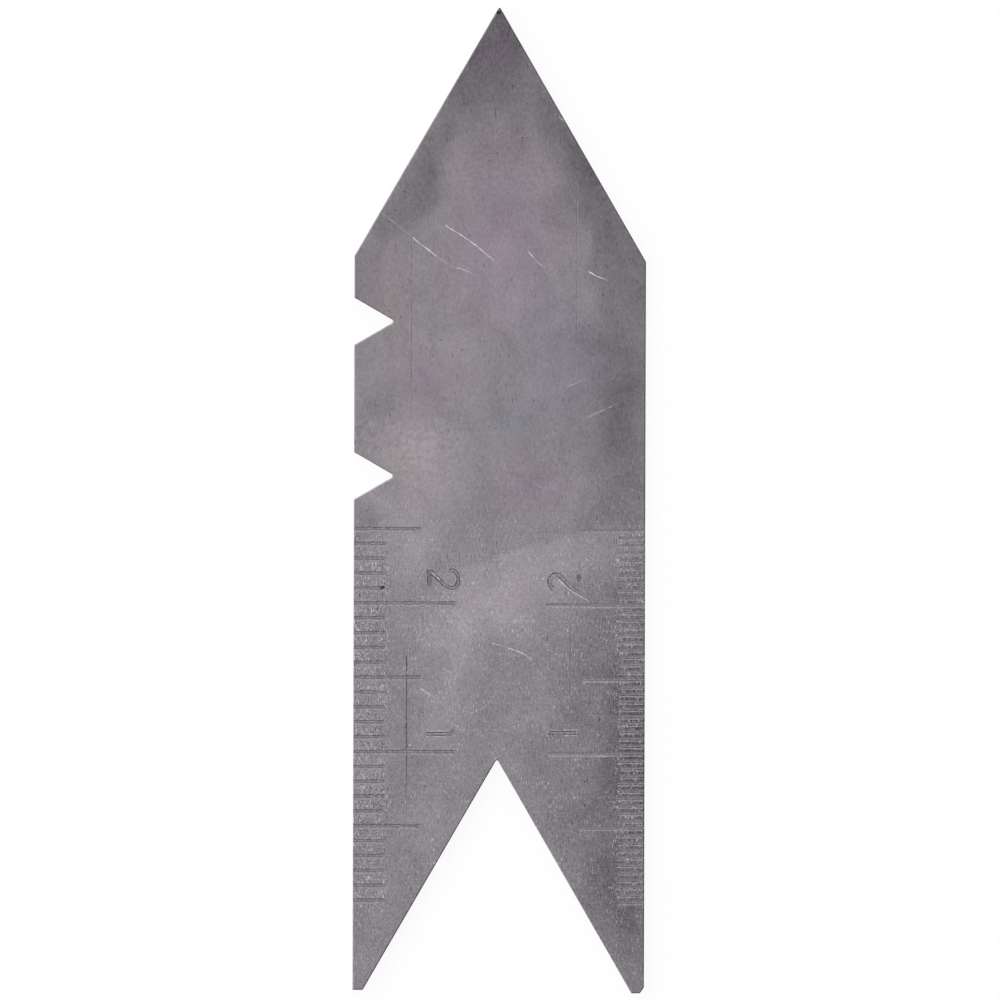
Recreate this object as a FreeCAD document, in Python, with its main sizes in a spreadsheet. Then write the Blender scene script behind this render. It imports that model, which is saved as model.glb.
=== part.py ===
import FreeCAD, Part
import os

import Sketcher

# A center gauge: one strip of ground sheet steel that a lathe hand lays against a threading tool.
# One end is a 60 degree point, the other a 60 degree fishtail, and one edge has two V notches.
# A millimetre scale is cut along the left edge and a half-millimetre scale along the right edge.
# It lies on its back, scales up. Millimetres: +Y runs along the strip to the point, +X across it to
# the right-hand scale and +Z out of the scales' face. The origin is under the middle of the strip.

SIZES = {
    # the strip that the gauge is ground from
    "strip_length": 66.36,
    "strip_width": 19.6,
    "strip_thickness": 1.0,
    # the point and the fishtail share one axis, ground a little to the left of the strip's middle
    "axis_offset": 0.13,
    "point_angle": 60.0,
    # the V notches in the left edge: how many, how far from the tip, how far apart, and how wide
    "notches": 2,
    "tip_to_notch": 21.2,
    "notch_pitch": 10.4,
    "notch_mouth": 3.18,
    "notch_angle": 60.0,
    "notch_root_radius": 0.16,
    # the fishtail is ground until this width is left at the end of the right horn
    "horn_end": 0.84,
    "fishtail_angle": 60.0,
    "fishtail_root_radius": 0.1,
    # the left horn is ground back, and the right horn has lost its outer corner
    "left_horn_step": 0.18,
    "horn_clip_across": 0.28,
    "horn_clip_along": 0.39,
    # the small bevel that takes the burr off every outside edge
    "edge_break": 0.07,
    # the V grooves of both scales
    "groove_width": 0.24,
    "groove_depth": 0.08,
    # the left scale: how far its zero lies from the strip's tail, and the length of its marks
    "left_zero_from_tail": 6.24,
    "left_division": 1.0,
    "left_marks": 26,
    "left_marks_per_number": 10,
    "left_short_mark": 2.15,
    "left_medium_mark": 4.6,
    "left_long_mark": 6.9,
    # the right scale
    "right_zero_from_tail": 6.17,
    "right_division": 0.5,
    "right_marks": 51,
    "right_marks_per_number": 20,
    "right_short_mark": 1.8,
    "right_medium_mark": 4.3,
    "right_long_mark": 6.64,
}

# How much further than the metal a cut reaches, so that it leaves no skin behind.
OVERRUN = 2.0
# How closely an edge has to lie where it is looked for.
NEAR = 1e-4

# A line's two ends are numbered from one, and a sketch's origin is the first point of line -1.
FIRST_END, LAST_END = range(1, 3)
SKETCH_ORIGIN = (-1, FIRST_END)

# Places on the strip that several cuts share, as expressions on the sheet's sizes.
TIP = "sizes.strip_length / 2"
TAIL = "-sizes.strip_length / 2"
LEFT_EDGE = "-sizes.strip_width / 2"
RIGHT_EDGE = "sizes.strip_width / 2"
AXIS = "-sizes.axis_offset"
FACE = "sizes.strip_thickness"
FISHTAIL_HALF_WIDTH = "(sizes.strip_width / 2 + sizes.axis_offset - sizes.horn_end)"
FISHTAIL_DEPTH = f"({FISHTAIL_HALF_WIDTH} / tan(sizes.fishtail_angle / 2))"
FISHTAIL_ROOT = f"({FISHTAIL_DEPTH} - sizes.strip_length / 2)"
NOTCH_ROOT = "(sizes.notch_mouth / 2 / tan(sizes.notch_angle / 2) - sizes.strip_width / 2)"
NOTCHES_APART = "sizes.notch_pitch * (sizes.notches - 1)"
LOWEST_NOTCH = f"(sizes.strip_length / 2 - sizes.tip_to_notch - {NOTCHES_APART})"


def write_sheet(doc):
    """Put the driving dimensions in a sheet, one named cell each."""
    sheet = doc.addObject("Spreadsheet::Sheet", "sizes")
    for row, (name, size) in enumerate(SIZES.items(), start=1):
        sheet.set(f"A{row}", name)
        sheet.set(f"B{row}", str(size))
        sheet.setAlias(f"B{row}", name)
    doc.recompute()


def value(owner, expression):
    """What an expression comes to, as a plain number."""
    return float(owner.evalExpression(expression))


def origin_feature(body, role):
    return next(item for item in body.Origin.OriginFeatures if item.Role == role)


def new_sketch(body, name, plane):
    sketch = body.newObject("Sketcher::SketchObject", name)
    sketch.AttachmentSupport = [(origin_feature(body, plane), "")]
    sketch.MapMode = "FlatFace"
    return sketch


def bind(sketch, kind, vertex, expression):
    """Hold a vertex at a distance from the sketch's origin, across or along it."""
    place = Sketcher.Constraint(kind, *SKETCH_ORIGIN, *vertex, value(sketch, expression))
    number = sketch.addConstraint(place)
    sketch.setExpression(f"Constraints[{number}]", expression)


def polygon(sketch, corners):
    """A closed outline. Each corner is a pair of expressions, across and along the sketch."""
    points = [
        FreeCAD.Vector(value(sketch, across), value(sketch, along), 0)
        for across, along in corners
    ]
    sides = [
        sketch.addGeometry(Part.LineSegment(start, end), False)
        for start, end in zip(points, points[1:] + points[:1])
    ]
    for side, following in zip(sides, sides[1:] + sides[:1]):
        sketch.addConstraint(
            Sketcher.Constraint("Coincident", side, LAST_END, following, FIRST_END)
        )
    for side, (across, along) in zip(sides, corners):
        bind(sketch, "DistanceX", (side, FIRST_END), across)
        bind(sketch, "DistanceY", (side, FIRST_END), along)


def check_cut(before, feature):
    """Stop if a cut took nothing away, or took everything."""
    feature.Document.recompute()
    if not 0 < feature.Shape.Volume < before - NEAR:
        raise RuntimeError(f"{feature.Label} cut nothing")


def pocket_through(body, name, corners):
    """Cut an outline right through the strip."""
    before = body.Tip.Shape.Volume
    sketch = new_sketch(body, f"{name}_outline", "XY_Plane")
    polygon(sketch, corners)
    pocket = body.newObject("PartDesign::Pocket", name)
    pocket.Profile = sketch
    pocket.Type = "ThroughAll"
    pocket.Midplane = True
    check_cut(before, pocket)
    return pocket


def repeat(body, name, feature, pitch, count):
    """Copies of a cut along the strip, towards the point."""
    before = body.Tip.Shape.Volume
    pattern = body.newObject("PartDesign::LinearPattern", name)
    pattern.Originals = [feature]
    pattern.Refine = False
    pattern.Direction = (origin_feature(body, "Y_Axis"), [""])
    pattern.Mode = "Spacing"
    pattern.setExpression("Offset", pitch)
    pattern.setExpression("Occurrences", count)
    body.Tip = pattern
    check_cut(before, pattern)
    return pattern


def edge_names(shape, wanted):
    return [f"Edge{number}" for number, edge in enumerate(shape.Edges, start=1) if wanted(edge)]


def is_near(place, wanted):
    return abs(place - wanted) < NEAR


def is_upright(edge):
    """Whether an edge runs straight through the strip's thickness."""
    box = edge.BoundBox
    return is_near(box.XMin, box.XMax) and is_near(box.YMin, box.YMax)


def is_level(edge):
    """Whether an edge bounds one of the strip's two broad faces."""
    box = edge.BoundBox
    return is_near(box.ZMin, box.ZMax)


def add_blank(body):
    """The strip as it is sheared: a plain rectangle of sheet."""
    sketch = new_sketch(body, "blank_outline", "XY_Plane")
    polygon(sketch, [(LEFT_EDGE, TAIL), (RIGHT_EDGE, TAIL), (RIGHT_EDGE, TIP), (LEFT_EDGE, TIP)])
    blank = body.newObject("PartDesign::Pad", "blank")
    blank.Profile = sketch
    blank.setExpression("Length", FACE)
    body.Document.recompute()


def add_point(body):
    """Grind away the corner on each side of the tip, at half the point's angle from its axis."""
    reach = "sizes.strip_width"
    drop = f"{reach} / tan(sizes.point_angle / 2)"
    for side, sign in (("left", "-"), ("right", "+")):
        beyond = f"{AXIS} {sign} {reach}"
        pocket_through(body, f"{side}_flank", [
            (AXIS, TIP),
            (beyond, f"{TIP} - {drop}"),
            (beyond, f"{TIP} + {OVERRUN}"),
            (AXIS, f"{TIP} + {OVERRUN}"),
        ])


def add_notches(body):
    """V notches in the left edge, with the small radius that the wheel's corner leaves."""
    beyond = f"{LEFT_EDGE} - {OVERRUN}"
    half_mouth = f"({NOTCH_ROOT} - ({beyond})) * tan(sizes.notch_angle / 2)"
    notch = pocket_through(body, "lowest_notch", [
        (NOTCH_ROOT, LOWEST_NOTCH),
        (beyond, f"{LOWEST_NOTCH} + {half_mouth}"),
        (beyond, f"{LOWEST_NOTCH} - {half_mouth}"),
    ])
    row = repeat(body, "notches", notch, "sizes.notch_pitch", "sizes.notches")
    root = value(body, NOTCH_ROOT)
    corners = edge_names(row.Shape, lambda edge: is_upright(edge) and is_near(edge.BoundBox.XMin, root))
    round_corners(body, "notch_roots", corners, "sizes.notch_root_radius")


def add_fishtail(body):
    """The wide notch in the tail, which leaves a horn on each side."""
    half_mouth = f"({FISHTAIL_DEPTH} + {OVERRUN}) * tan(sizes.fishtail_angle / 2)"
    fishtail = pocket_through(body, "fishtail", [
        (AXIS, FISHTAIL_ROOT),
        (f"{AXIS} - {half_mouth}", f"{TAIL} - {OVERRUN}"),
        (f"{AXIS} + {half_mouth}", f"{TAIL} - {OVERRUN}"),
    ])
    root = value(body, FISHTAIL_ROOT)
    shape = fishtail.Shape
    corner = edge_names(shape, lambda edge: is_upright(edge) and is_near(edge.BoundBox.YMin, root))
    round_corners(body, "fishtail_root", corner, "sizes.fishtail_root_radius")


def round_corners(body, name, edges, radius):
    base = body.Tip
    fillet = body.newObject("PartDesign::Fillet", name)
    fillet.Base = (base, edges)
    fillet.setExpression("Radius", radius)
    body.Document.recompute()


def add_horn_ends(body):
    """The left horn stops short of the right one, whose outer corner is clipped."""
    left_end = f"{TAIL} + sizes.left_horn_step"
    beyond_tail = f"{TAIL} - {OVERRUN}"
    beyond_left = f"{LEFT_EDGE} - {OVERRUN}"
    pocket_through(body, "left_horn_end", [
        (beyond_left, beyond_tail),
        (AXIS, beyond_tail),
        (AXIS, left_end),
        (beyond_left, left_end),
    ])
    # The clip's slope is carried on past both edges of the corner.
    run_out = f"{OVERRUN} * sizes.horn_clip_across / sizes.horn_clip_along"
    rise_out = f"{OVERRUN} * sizes.horn_clip_along / sizes.horn_clip_across"
    beyond_right = f"{RIGHT_EDGE} + {OVERRUN}"
    pocket_through(body, "right_horn_clip", [
        (f"{RIGHT_EDGE} - sizes.horn_clip_across - {run_out}", beyond_tail),
        (beyond_right, beyond_tail),
        (beyond_right, f"{TAIL} + sizes.horn_clip_along + {rise_out}"),
    ])


def break_edges(body):
    """A small bevel round both broad faces."""
    base = body.Tip
    before = base.Shape.Volume
    outlines = edge_names(base.Shape, is_level)
    chamfer = body.newObject("PartDesign::Chamfer", "broken_edges")
    chamfer.Base = (base, outlines)
    chamfer.setExpression("Size", "sizes.edge_break")
    check_cut(before, chamfer)


def cut_marks(body, side, length, first, pitch, count):
    """One row of equal V grooves that run in from an edge of the marked face.

    The first groove is the one nearest the tail, and the row is repeated towards the point. The
    cutter stands as far above the face as it cuts below it, so it is twice the groove's width.
    """
    before = body.Tip.Shape.Volume
    name = f"{side}_{length}_marks"
    sketch = new_sketch(body, f"{name}_section", "YZ_Plane")
    edge = LEFT_EDGE if side == "left" else RIGHT_EDGE
    sketch.setExpression(".AttachmentOffset.Base.z", edge)
    middle = f"({TAIL} + sizes.{side}_zero_from_tail + {first})"
    polygon(sketch, [
        (middle, f"{FACE} - sizes.groove_depth"),
        (f"{middle} + sizes.groove_width", f"{FACE} + sizes.groove_depth"),
        (f"{middle} - sizes.groove_width", f"{FACE} + sizes.groove_depth"),
    ])
    groove = body.newObject("PartDesign::Pocket", f"{name}_first")
    groove.Profile = sketch
    groove.Refine = False
    groove.Reversed = side == "left"
    groove.setExpression("Length", f"sizes.{side}_{length}_mark")
    check_cut(before, groove)
    repeat(body, name, groove, pitch, count)


def add_scales(body):
    """A long mark at each number, a medium one half-way to each, and short marks all along."""
    for length in ("long", "medium", "short"):
        for side in ("left", "right"):
            division = f"sizes.{side}_division"
            number_pitch = f"{division} * sizes.{side}_marks_per_number"
            numbers = f"(sizes.{side}_marks - 1) / sizes.{side}_marks_per_number"
            first, pitch, count = {
                "long": (number_pitch, number_pitch, f"floor({numbers})"),
                "medium": (f"{number_pitch} / 2", number_pitch, f"floor({numbers} + 0.5)"),
                "short": ("0", division, f"sizes.{side}_marks"),
            }[length]
            cut_marks(body, side, length, first, pitch, count)


def build_gauge_plate(doc):
    body = doc.addObject("PartDesign::Body", "gauge_plate")
    body.Label = "gauge_plate"
    add_blank(body)
    add_point(body)
    add_notches(body)
    add_fishtail(body)
    add_horn_ends(body)
    break_edges(body)
    add_scales(body)
    # Short marks run on into longer ones, so the faces that they share are joined at the end.
    body.Tip.Refine = True
    body.Placement = FreeCAD.Placement()
    return body


def check_document(doc, parts):
    doc.recompute()
    for item in doc.Objects:
        if {"Invalid", "Error"} & set(item.State):
            raise RuntimeError(f"{item.Label} failed: {item.State}")
    for part in parts:
        if part.Shape.isNull() or not part.Shape.isValid():
            raise RuntimeError(f"{part.Label} has no valid shape")


def export(parts):
    os.makedirs("parts", exist_ok=True)
    for part in parts:
        part.Shape.exportStep(f"parts/{part.Label}.step")
        box = part.Shape.BoundBox
        print(part.Label, "solids", len(part.Shape.Solids), "faces", len(part.Shape.Faces),
              "volume", round(part.Shape.Volume, 3), "box", box)


document = FreeCAD.newDocument("center_gauge")
write_sheet(document)
made = [build_gauge_plate(document)]
check_document(document, made)
export(made)
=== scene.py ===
# %% [markdown]
# A center gauge is a small plate of ground sheet steel. A lathe hand lays it against a threading
# tool to see that the tool is ground to 60 degrees and stands square to the work. The plate is one
# piece of metal, so this lesson spends its time on what makes such a thin flat piece look real:
# its broken edges, its rolled scales, its stamped numbers, its scratches and its tarnish.
#
# The plate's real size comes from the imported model, which is loaded first and never changed.

# %% Load the model that everything is fitted to
import bmesh
import bpy
import math
from mathutils import Matrix, Vector


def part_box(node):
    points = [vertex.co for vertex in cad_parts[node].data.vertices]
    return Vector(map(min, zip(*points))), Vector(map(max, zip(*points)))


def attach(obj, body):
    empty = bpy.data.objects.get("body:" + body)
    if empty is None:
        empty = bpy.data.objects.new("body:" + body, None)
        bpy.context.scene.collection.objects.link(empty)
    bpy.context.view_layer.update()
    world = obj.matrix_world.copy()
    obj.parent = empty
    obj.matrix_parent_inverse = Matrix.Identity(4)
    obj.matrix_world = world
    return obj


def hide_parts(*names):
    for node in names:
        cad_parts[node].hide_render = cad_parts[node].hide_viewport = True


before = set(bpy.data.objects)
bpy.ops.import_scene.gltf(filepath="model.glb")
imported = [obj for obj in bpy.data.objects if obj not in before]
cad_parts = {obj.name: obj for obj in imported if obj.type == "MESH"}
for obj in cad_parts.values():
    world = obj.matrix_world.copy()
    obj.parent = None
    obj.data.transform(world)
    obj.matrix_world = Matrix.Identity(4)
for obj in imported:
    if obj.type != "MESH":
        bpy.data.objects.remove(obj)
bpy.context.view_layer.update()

MM = 0.001
low, high = (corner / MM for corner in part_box("gauge_plate"))
LEFT, RIGHT = low.x, high.x
TAIL, TIP = low.y, high.y
print("plate in millimetres:", [round(size, 2) for size in high - low])

# %% [markdown]
# The picture was taken from straight above, with the point of the gauge at the top. A long lens
# held half a metre up shows the plate with almost no perspective, and keeps its two long sides
# parallel. The lens follows from how many millimetres of the plate's level fill the picture, and
# the camera is turned by the little that the plate lies askew.

# %% Camera
PICTURE_WIDTH = 67.26
PICTURE_MIDDLE = (0.026, -0.021)
PICTURE_TURN = 0.00294
CAMERA_HEIGHT = 500.0
SENSOR = 36.0

camera = bpy.data.objects.new("camera", bpy.data.cameras.new("camera"))
camera.data.sensor_width = SENSOR
camera.data.lens = SENSOR * CAMERA_HEIGHT / PICTURE_WIDTH
camera.data.clip_start = 0.01
camera.location = Vector((*PICTURE_MIDDLE, high.z + CAMERA_HEIGHT)) * MM
camera.rotation_euler = (0, 0, PICTURE_TURN)
bpy.context.scene.collection.objects.link(camera)
bpy.context.scene.camera = camera
bpy.context.scene.view_settings.view_transform = "Standard"
print("lens", round(camera.data.lens, 1), "mm")

# %% [markdown]
# Every material, light and pattern below is a tree of nodes. One small function adds a node, sets
# what it is told and joins what comes before it. It hands back the node's first live output,
# because that is what the next node nearly always wants. Colours are written the way that a
# screen shows them, and one function turns them into the linear values that light works with.

# %% Helpers for node trees
def add(tree, kind, inputs=None, **settings):
    """Add a node. Its inputs are given by name, identifier or number, as a value or a socket."""
    node = tree.nodes.new(kind)
    for name, setting in settings.items():
        setattr(node, name, setting)
    for key, source in (inputs or {}).items():
        if isinstance(key, int):
            socket = node.inputs[key]
        else:
            socket = next(s for s in node.inputs if s.enabled and key in (s.name, s.identifier))
        if isinstance(source, bpy.types.NodeSocket):
            tree.links.new(source, socket)
        else:
            socket.default_value = source
    return next((socket for socket in node.outputs if socket.enabled), None)


def channel_to_linear(channel):
    """Turn one channel from how a screen shows it into how bright it is."""
    if channel <= 0.04045:
        return channel / 12.92
    return ((channel + 0.055) / 1.055) ** 2.4


def linear(hex_colour):
    """Turn a colour such as #868186 into linear red, green, blue and alpha."""
    channels = [int(hex_colour[place:place + 2], 16) / 255 for place in (1, 3, 5)]
    return (*map(channel_to_linear, channels), 1.0)


def new_material(name):
    """An empty material and its tree."""
    material = bpy.data.materials.new(name)
    material.use_nodes = True
    material.node_tree.nodes.clear()
    return material, material.node_tree


print("grey card", [round(channel, 3) for channel in linear("#868186")])

# %% [markdown]
# The plate lies on a plain white table under soft studio light. A flat piece of metal shows what
# hangs above it, so the room matters more than the lamps: its ceiling is evenly white, the wall
# beyond the point is bright and the wall on the right is dim. That is why the tail side of each
# groove shines while its other side is dark.

# %% Room light
CEILING = 1.0
BRIGHTER_TO_THE_POINT = 0.6
DIMMER_TO_THE_RIGHT = 0.85
DIMMEST = 0.3
LAMP_WATTS = 0.6
LAMP_SIZE = (0.3, 0.2)
LAMP_PLACE = (-0.25, 0.3, 0.35)

world = bpy.data.worlds.new("studio_room")
bpy.context.scene.world = world
world.use_nodes = True
room = world.node_tree
room.nodes.clear()
direction = add(room, "ShaderNodeTexCoord")
sides = add(room, "ShaderNodeSeparateXYZ", {0: direction.node.outputs["Generated"]}).node
lengthwise = add(room, "ShaderNodeMath", {
    0: sides.outputs["Y"], 1: BRIGHTER_TO_THE_POINT, 2: CEILING,
}, operation="MULTIPLY_ADD")
glow = add(room, "ShaderNodeMath", {
    0: sides.outputs["X"], 1: -DIMMER_TO_THE_RIGHT, 2: lengthwise,
}, operation="MULTIPLY_ADD")
glow = add(room, "ShaderNodeMath", {0: glow, 1: DIMMEST}, operation="MAXIMUM")
sky = add(room, "ShaderNodeBackground", {"Color": linear("#FFFFFF"), "Strength": glow})
add(room, "ShaderNodeOutputWorld", {"Surface": sky})

soft_box = bpy.data.objects.new("soft_box", bpy.data.lights.new("soft_box", "AREA"))
soft_box.data.shape = "RECTANGLE"
soft_box.data.size, soft_box.data.size_y = LAMP_SIZE
soft_box.data.energy = LAMP_WATTS
soft_box.location = LAMP_PLACE
soft_box.rotation_euler = (-soft_box.location).to_track_quat("-Z", "Y").to_euler()
bpy.context.scene.collection.objects.link(soft_box)
print("soft box stands", round(soft_box.location.length, 2), "m away")

# %% [markdown]
# The table is far wider than the picture. To the camera, and in reflections, it is mostly a white
# glow, with a little plain paint in it that lets the plate's shadow show.

# %% Table
TABLE_SIZE = 4.0
SHADOW_PAINT = 0.08


def white_table():
    """White to the camera and in reflections, plain pale paint for the light that it gives back."""
    material, tree = new_material("white_table")
    path = add(tree, "ShaderNodeLightPath").node.outputs
    seen = add(tree, "ShaderNodeMath", {
        0: path["Is Camera Ray"], 1: path["Is Glossy Ray"],
    }, operation="MAXIMUM")
    seen = add(tree, "ShaderNodeMath", {
        0: seen, 1: path["Is Transmission Ray"],
    }, operation="MAXIMUM")
    glowing = add(tree, "ShaderNodeEmission", {"Color": linear("#FFFFFF"), "Strength": 1.0})
    paint = add(tree, "ShaderNodeBsdfDiffuse", {"Color": linear("#EFEFEF")})
    bright = add(tree, "ShaderNodeMixShader", {0: SHADOW_PAINT, 1: glowing, 2: paint})
    surface = add(tree, "ShaderNodeMixShader", {0: seen, 1: paint, 2: bright})
    add(tree, "ShaderNodeOutputMaterial", {"Surface": surface})
    return material


table_mesh = bpy.data.meshes.new("table")
table = bpy.data.objects.new("table", table_mesh)
bpy.context.scene.collection.objects.link(table)
shape = bmesh.new()
bmesh.ops.create_grid(shape, x_segments=1, y_segments=1, size=TABLE_SIZE / 2)
shape.to_mesh(table_mesh)
shape.free()
table_mesh.materials.append(white_table())
print("table", TABLE_SIZE, "m across")

# %% [markdown]
# The plate was sheared from sheet steel and ground on its flat sides, then ground on its edges to
# the exact angles, and its scales were rolled in. It has since been handled for years. Bare steel
# keeps a fine grain along the way it was ground, and a thin skin of tarnish lies over it in
# clouds: light where it was wiped, dark where a thumb held it. The clouds are soft ovals, each put
# where one shows. The dark clouds over the point and along the right side are painted shade as
# well as tarnish. The film is thin enough to colour the light a little: mauve, blue or green.

# %% Colours, and clouds of tarnish and painted shade
STEEL_DARK = "#4A464A"
STEEL_LIGHT = "#C6C2C6"
# One level of 255 on a screen is worth this much of the way from the dark steel to the light one.
LEVEL = 0.0084
PLAIN_TONE = 0.36

# Where a cloud of tarnish lies: across and along the plate, its half width and half length, its
# turn in degrees, and how many levels lighter or darker it is. The dark ones over the point and
# along the right side are painted shade as well as tarnish. They go from the point to the tail.
CLOUDS = (
    (0.0, 31.5, 8.0, 11.0, 0, -32),
    (-4.2, 25.6, 1.3, 1.8, -30, 9),
    (-5.8, 22.2, 2.6, 8.0, -30, -22),
    (5.6, 22.2, 2.6, 8.0, 30, -24),
    (4.3, 19.1, 2.4, 2.6, 0, -8),
    (-8.7, 17.8, 1.5, 1.8, 0, 9),
    (9.8, 17.0, 4.6, 8.0, 0, -22),
    (-9.4, 16.5, 3.0, 5.0, 0, -10),
    (0.4, 14.0, 4.0, 5.0, 0, 7),
    (6.8, 11.6, 2.2, 2.6, 0, -9),
    (-3.6, 9.4, 3.4, 3.6, 0, 6),
    (9.0, 7.4, 4.8, 8.0, 0, -21),
    (7.0, 4.4, 2.8, 4.0, 0, -8),
    (-4.9, 2.4, 4.2, 4.4, 8, 16),
    (9.0, 1.6, 1.9, 1.8, 0, -10),
    (-8.0, -0.5, 2.6, 1.9, 0, 10),
    (8.8, -0.6, 3.4, 3.2, 0, -10),
    (-9.0, -2.4, 1.9, 2.2, 0, -12),
    (-6.0, -3.0, 3.6, 4.4, 0, 15),
    (9.2, -6.2, 2.2, 3.6, 0, -12),
    (-0.9, -7.0, 7.5, 3.6, 22, 13),
    (6.2, -7.6, 2.6, 3.4, 0, -7),
    (-6.4, -8.2, 2.2, 2.6, 0, 7),
    (1.3, -8.6, 2.4, 2.0, 0, 9),
    (-3.4, -11.0, 2.8, 9.0, -6, 14),
    (7.1, -14.2, 1.8, 2.6, 0, 11),
    (-5.06, -14.6, 0.4, 0.6, 0, -14),
    (9.8, -15.0, 2.4, 15.0, 0, -12),
    (4.4, -15.0, 2.6, 3.6, 0, -9),
    (8.6, -17.0, 4.7, 15.0, 0, -28),
    (4.6, -21.5, 2.4, 3.6, 0, -8),
    (-4.0, -22.0, 3.0, 6.0, 0, 6),
    (6.9, -26.5, 3.0, 4.5, 0, -14),
    (9.3, -26.8, 1.8, 3.4, 0, -10),
    (9.5, -30.0, 3.5, 8.0, 0, -10),
)

# A film has a place in the same way, and the colour that it lets through.
PLAIN_FILM = "#FFFCFF"
FILMS = (
    (0.2, 17.5, 5.0, 9.0, 0, "#FFF5FE"),
    (-7.0, 13.0, 2.6, 6.0, 0, "#FFFCF9"),
    (4.2, 10.0, 4.4, 7.5, 20, "#F6F8FF"),
    (-5.0, 8.5, 2.6, 3.0, 0, "#FFF5FC"),
    (0.8, 5.5, 4.2, 3.0, 0, "#F4FAFD"),
    (-0.2, 30.0, 1.6, 2.2, 0, "#F8F0FF"),
    (2.2, 1.0, 3.4, 3.0, 0, "#FDF7FF"),
    (-6.0, 2.5, 3.0, 4.6, 0, "#FFFDFA"),
)
print(len(CLOUDS), "clouds and", len(FILMS), "films of tarnish")

# %% [markdown]
# A pattern is a number for each place on the plate, made by a few nodes. Three kinds are enough: a
# soft oval, a band between two places, and noise that is stretched like the marks it stands for. A
# list of layers then says by how many levels each pattern makes the steel lighter or darker.

# %% Patterns
def cloud(tree, place, middle, half_size, turn):
    """One soft oval: 1 in its middle and 0 outside."""
    spread = add(tree, "ShaderNodeMapping", {
        "Vector": place,
        "Location": (*middle, 0),
        "Rotation": (0, 0, math.radians(turn)),
        "Scale": (*half_size, 1000),
    }, vector_type="TEXTURE")
    ball = add(tree, "ShaderNodeTexGradient", {"Vector": spread}, gradient_type="SPHERICAL")
    return add(tree, "ShaderNodeMapRange", {"Value": ball.node.outputs["Fac"]},
               interpolation_type="SMOOTHSTEP")


def between(tree, value, first, last, soft):
    """1 where a value lies between two others, with soft ends."""
    rising = add(tree, "ShaderNodeMapRange", {
        "Value": value, "From Min": first - soft, "From Max": first + soft,
    })
    falling = add(tree, "ShaderNodeMapRange", {
        "Value": value, "From Min": last + soft, "From Max": last - soft,
    })
    return add(tree, "ShaderNodeMath", {0: rising, 1: falling}, operation="MULTIPLY")


def centred_noise(tree, place, stretch, detail):
    """Noise about zero, drawn out by so many millimetres each way."""
    scaled = add(tree, "ShaderNodeMapping", {
        "Vector": place, "Scale": [1 / size for size in stretch],
    })
    noise = add(tree, "ShaderNodeTexNoise", {"Vector": scaled, "Scale": 1.0, "Detail": detail})
    return add(tree, "ShaderNodeMath", {0: noise, 1: 0.5}, operation="SUBTRACT")


def layered(tree, tone, layers):
    """A tone that each layer's pattern makes lighter or darker by so many levels."""
    for pattern, levels in layers:
        tone = add(tree, "ShaderNodeMath", {
            0: pattern, 1: levels * LEVEL, 2: tone,
        }, operation="MULTIPLY_ADD")
    return tone


print("patterns: cloud, between, noise")

# %% [markdown]
# Wear has places of its own. The rolls that pressed the scales in left the metal between the marks
# rough. A patch on the left was scuffed and wiped bright, up to a line across the plate. The last
# wipe of the rag ended along a slanting line, and is brightest just below it.

# %% Rolled, wiped and scuffed places
ROWS_ALONG = (TAIL + 6.0, TAIL + 31.5)
LEFT_ROW = (LEFT, LEFT + 2.3)
RIGHT_ROW = (RIGHT - 2.0, RIGHT)
# The scuffed patch: across, along, half its width and half its length.
SCUFF = (-6.6, 2.2, 4.6, 3.4)
SCUFF_TOP_SOFTNESS = 0.5
CRUMPLES = (0.3, 0.44, 1.0)
CRUMPLE_TURN = math.radians(50)
CRUMPLE_LIFT = 0.07
WIPE_MIDDLE = -3.8
WIPE_SLANT = 0.266
WIPE_ACROSS = (-3.0, 7.0)


def rolled_rows(tree, sides):
    """1 between the marks of either scale."""
    rows = between(tree, sides["Y"], *ROWS_ALONG, 0.6)
    left_row = between(tree, sides["X"], *LEFT_ROW, 0.25)
    right_row = between(tree, sides["X"], *RIGHT_ROW, 0.25)
    across = add(tree, "ShaderNodeMath", {0: left_row, 1: right_row}, operation="ADD")
    return add(tree, "ShaderNodeMath", {0: rows, 1: across}, operation="MULTIPLY")


def last_wipe(tree, sides):
    """1 just below the slanting line where the rag stopped, and less further down."""
    slope = add(tree, "ShaderNodeMath", {
        0: sides["X"], 1: -WIPE_SLANT, 2: sides["Y"],
    }, operation="MULTIPLY_ADD")
    wiped = add(tree, "ShaderNodeMapRange", {
        "Value": slope, "From Min": WIPE_MIDDLE + 0.2, "From Max": WIPE_MIDDLE - 0.2,
    })
    fading = add(tree, "ShaderNodeMapRange", {
        "Value": slope, "From Min": WIPE_MIDDLE - 6.0, "From Max": WIPE_MIDDLE - 1.5,
    })
    width = between(tree, sides["X"], *WIPE_ACROSS, 2.0)
    wiped = add(tree, "ShaderNodeMath", {0: wiped, 1: fading}, operation="MULTIPLY")
    return add(tree, "ShaderNodeMath", {0: wiped, 1: width}, operation="MULTIPLY")


def scuffed_patch(tree, place, sides):
    """Slanting crumples in the scuffed patch, which fades downwards and ends sharply at its top."""
    slanting = add(tree, "ShaderNodeVectorRotate", {"Vector": place, "Angle": CRUMPLE_TURN})
    crumples = centred_noise(tree, slanting, CRUMPLES, 3.0)
    crumples = add(tree, "ShaderNodeMath", {0: crumples, 1: CRUMPLE_LIFT}, operation="ADD")
    across, along, wide, long = SCUFF
    reach = between(tree, sides["X"], across - wide, across + wide, 0.7)
    for limit in (along - long, along + long):
        height = add(tree, "ShaderNodeMapRange", {
            "Value": sides["Y"], "From Min": limit, "From Max": along + long - SCUFF_TOP_SOFTNESS,
        })
        reach = add(tree, "ShaderNodeMath", {0: reach, 1: height}, operation="MULTIPLY")
    return add(tree, "ShaderNodeMath", {0: crumples, 1: reach}, operation="MULTIPLY")


print("scuffed patch at", SCUFF[:2])
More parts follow.
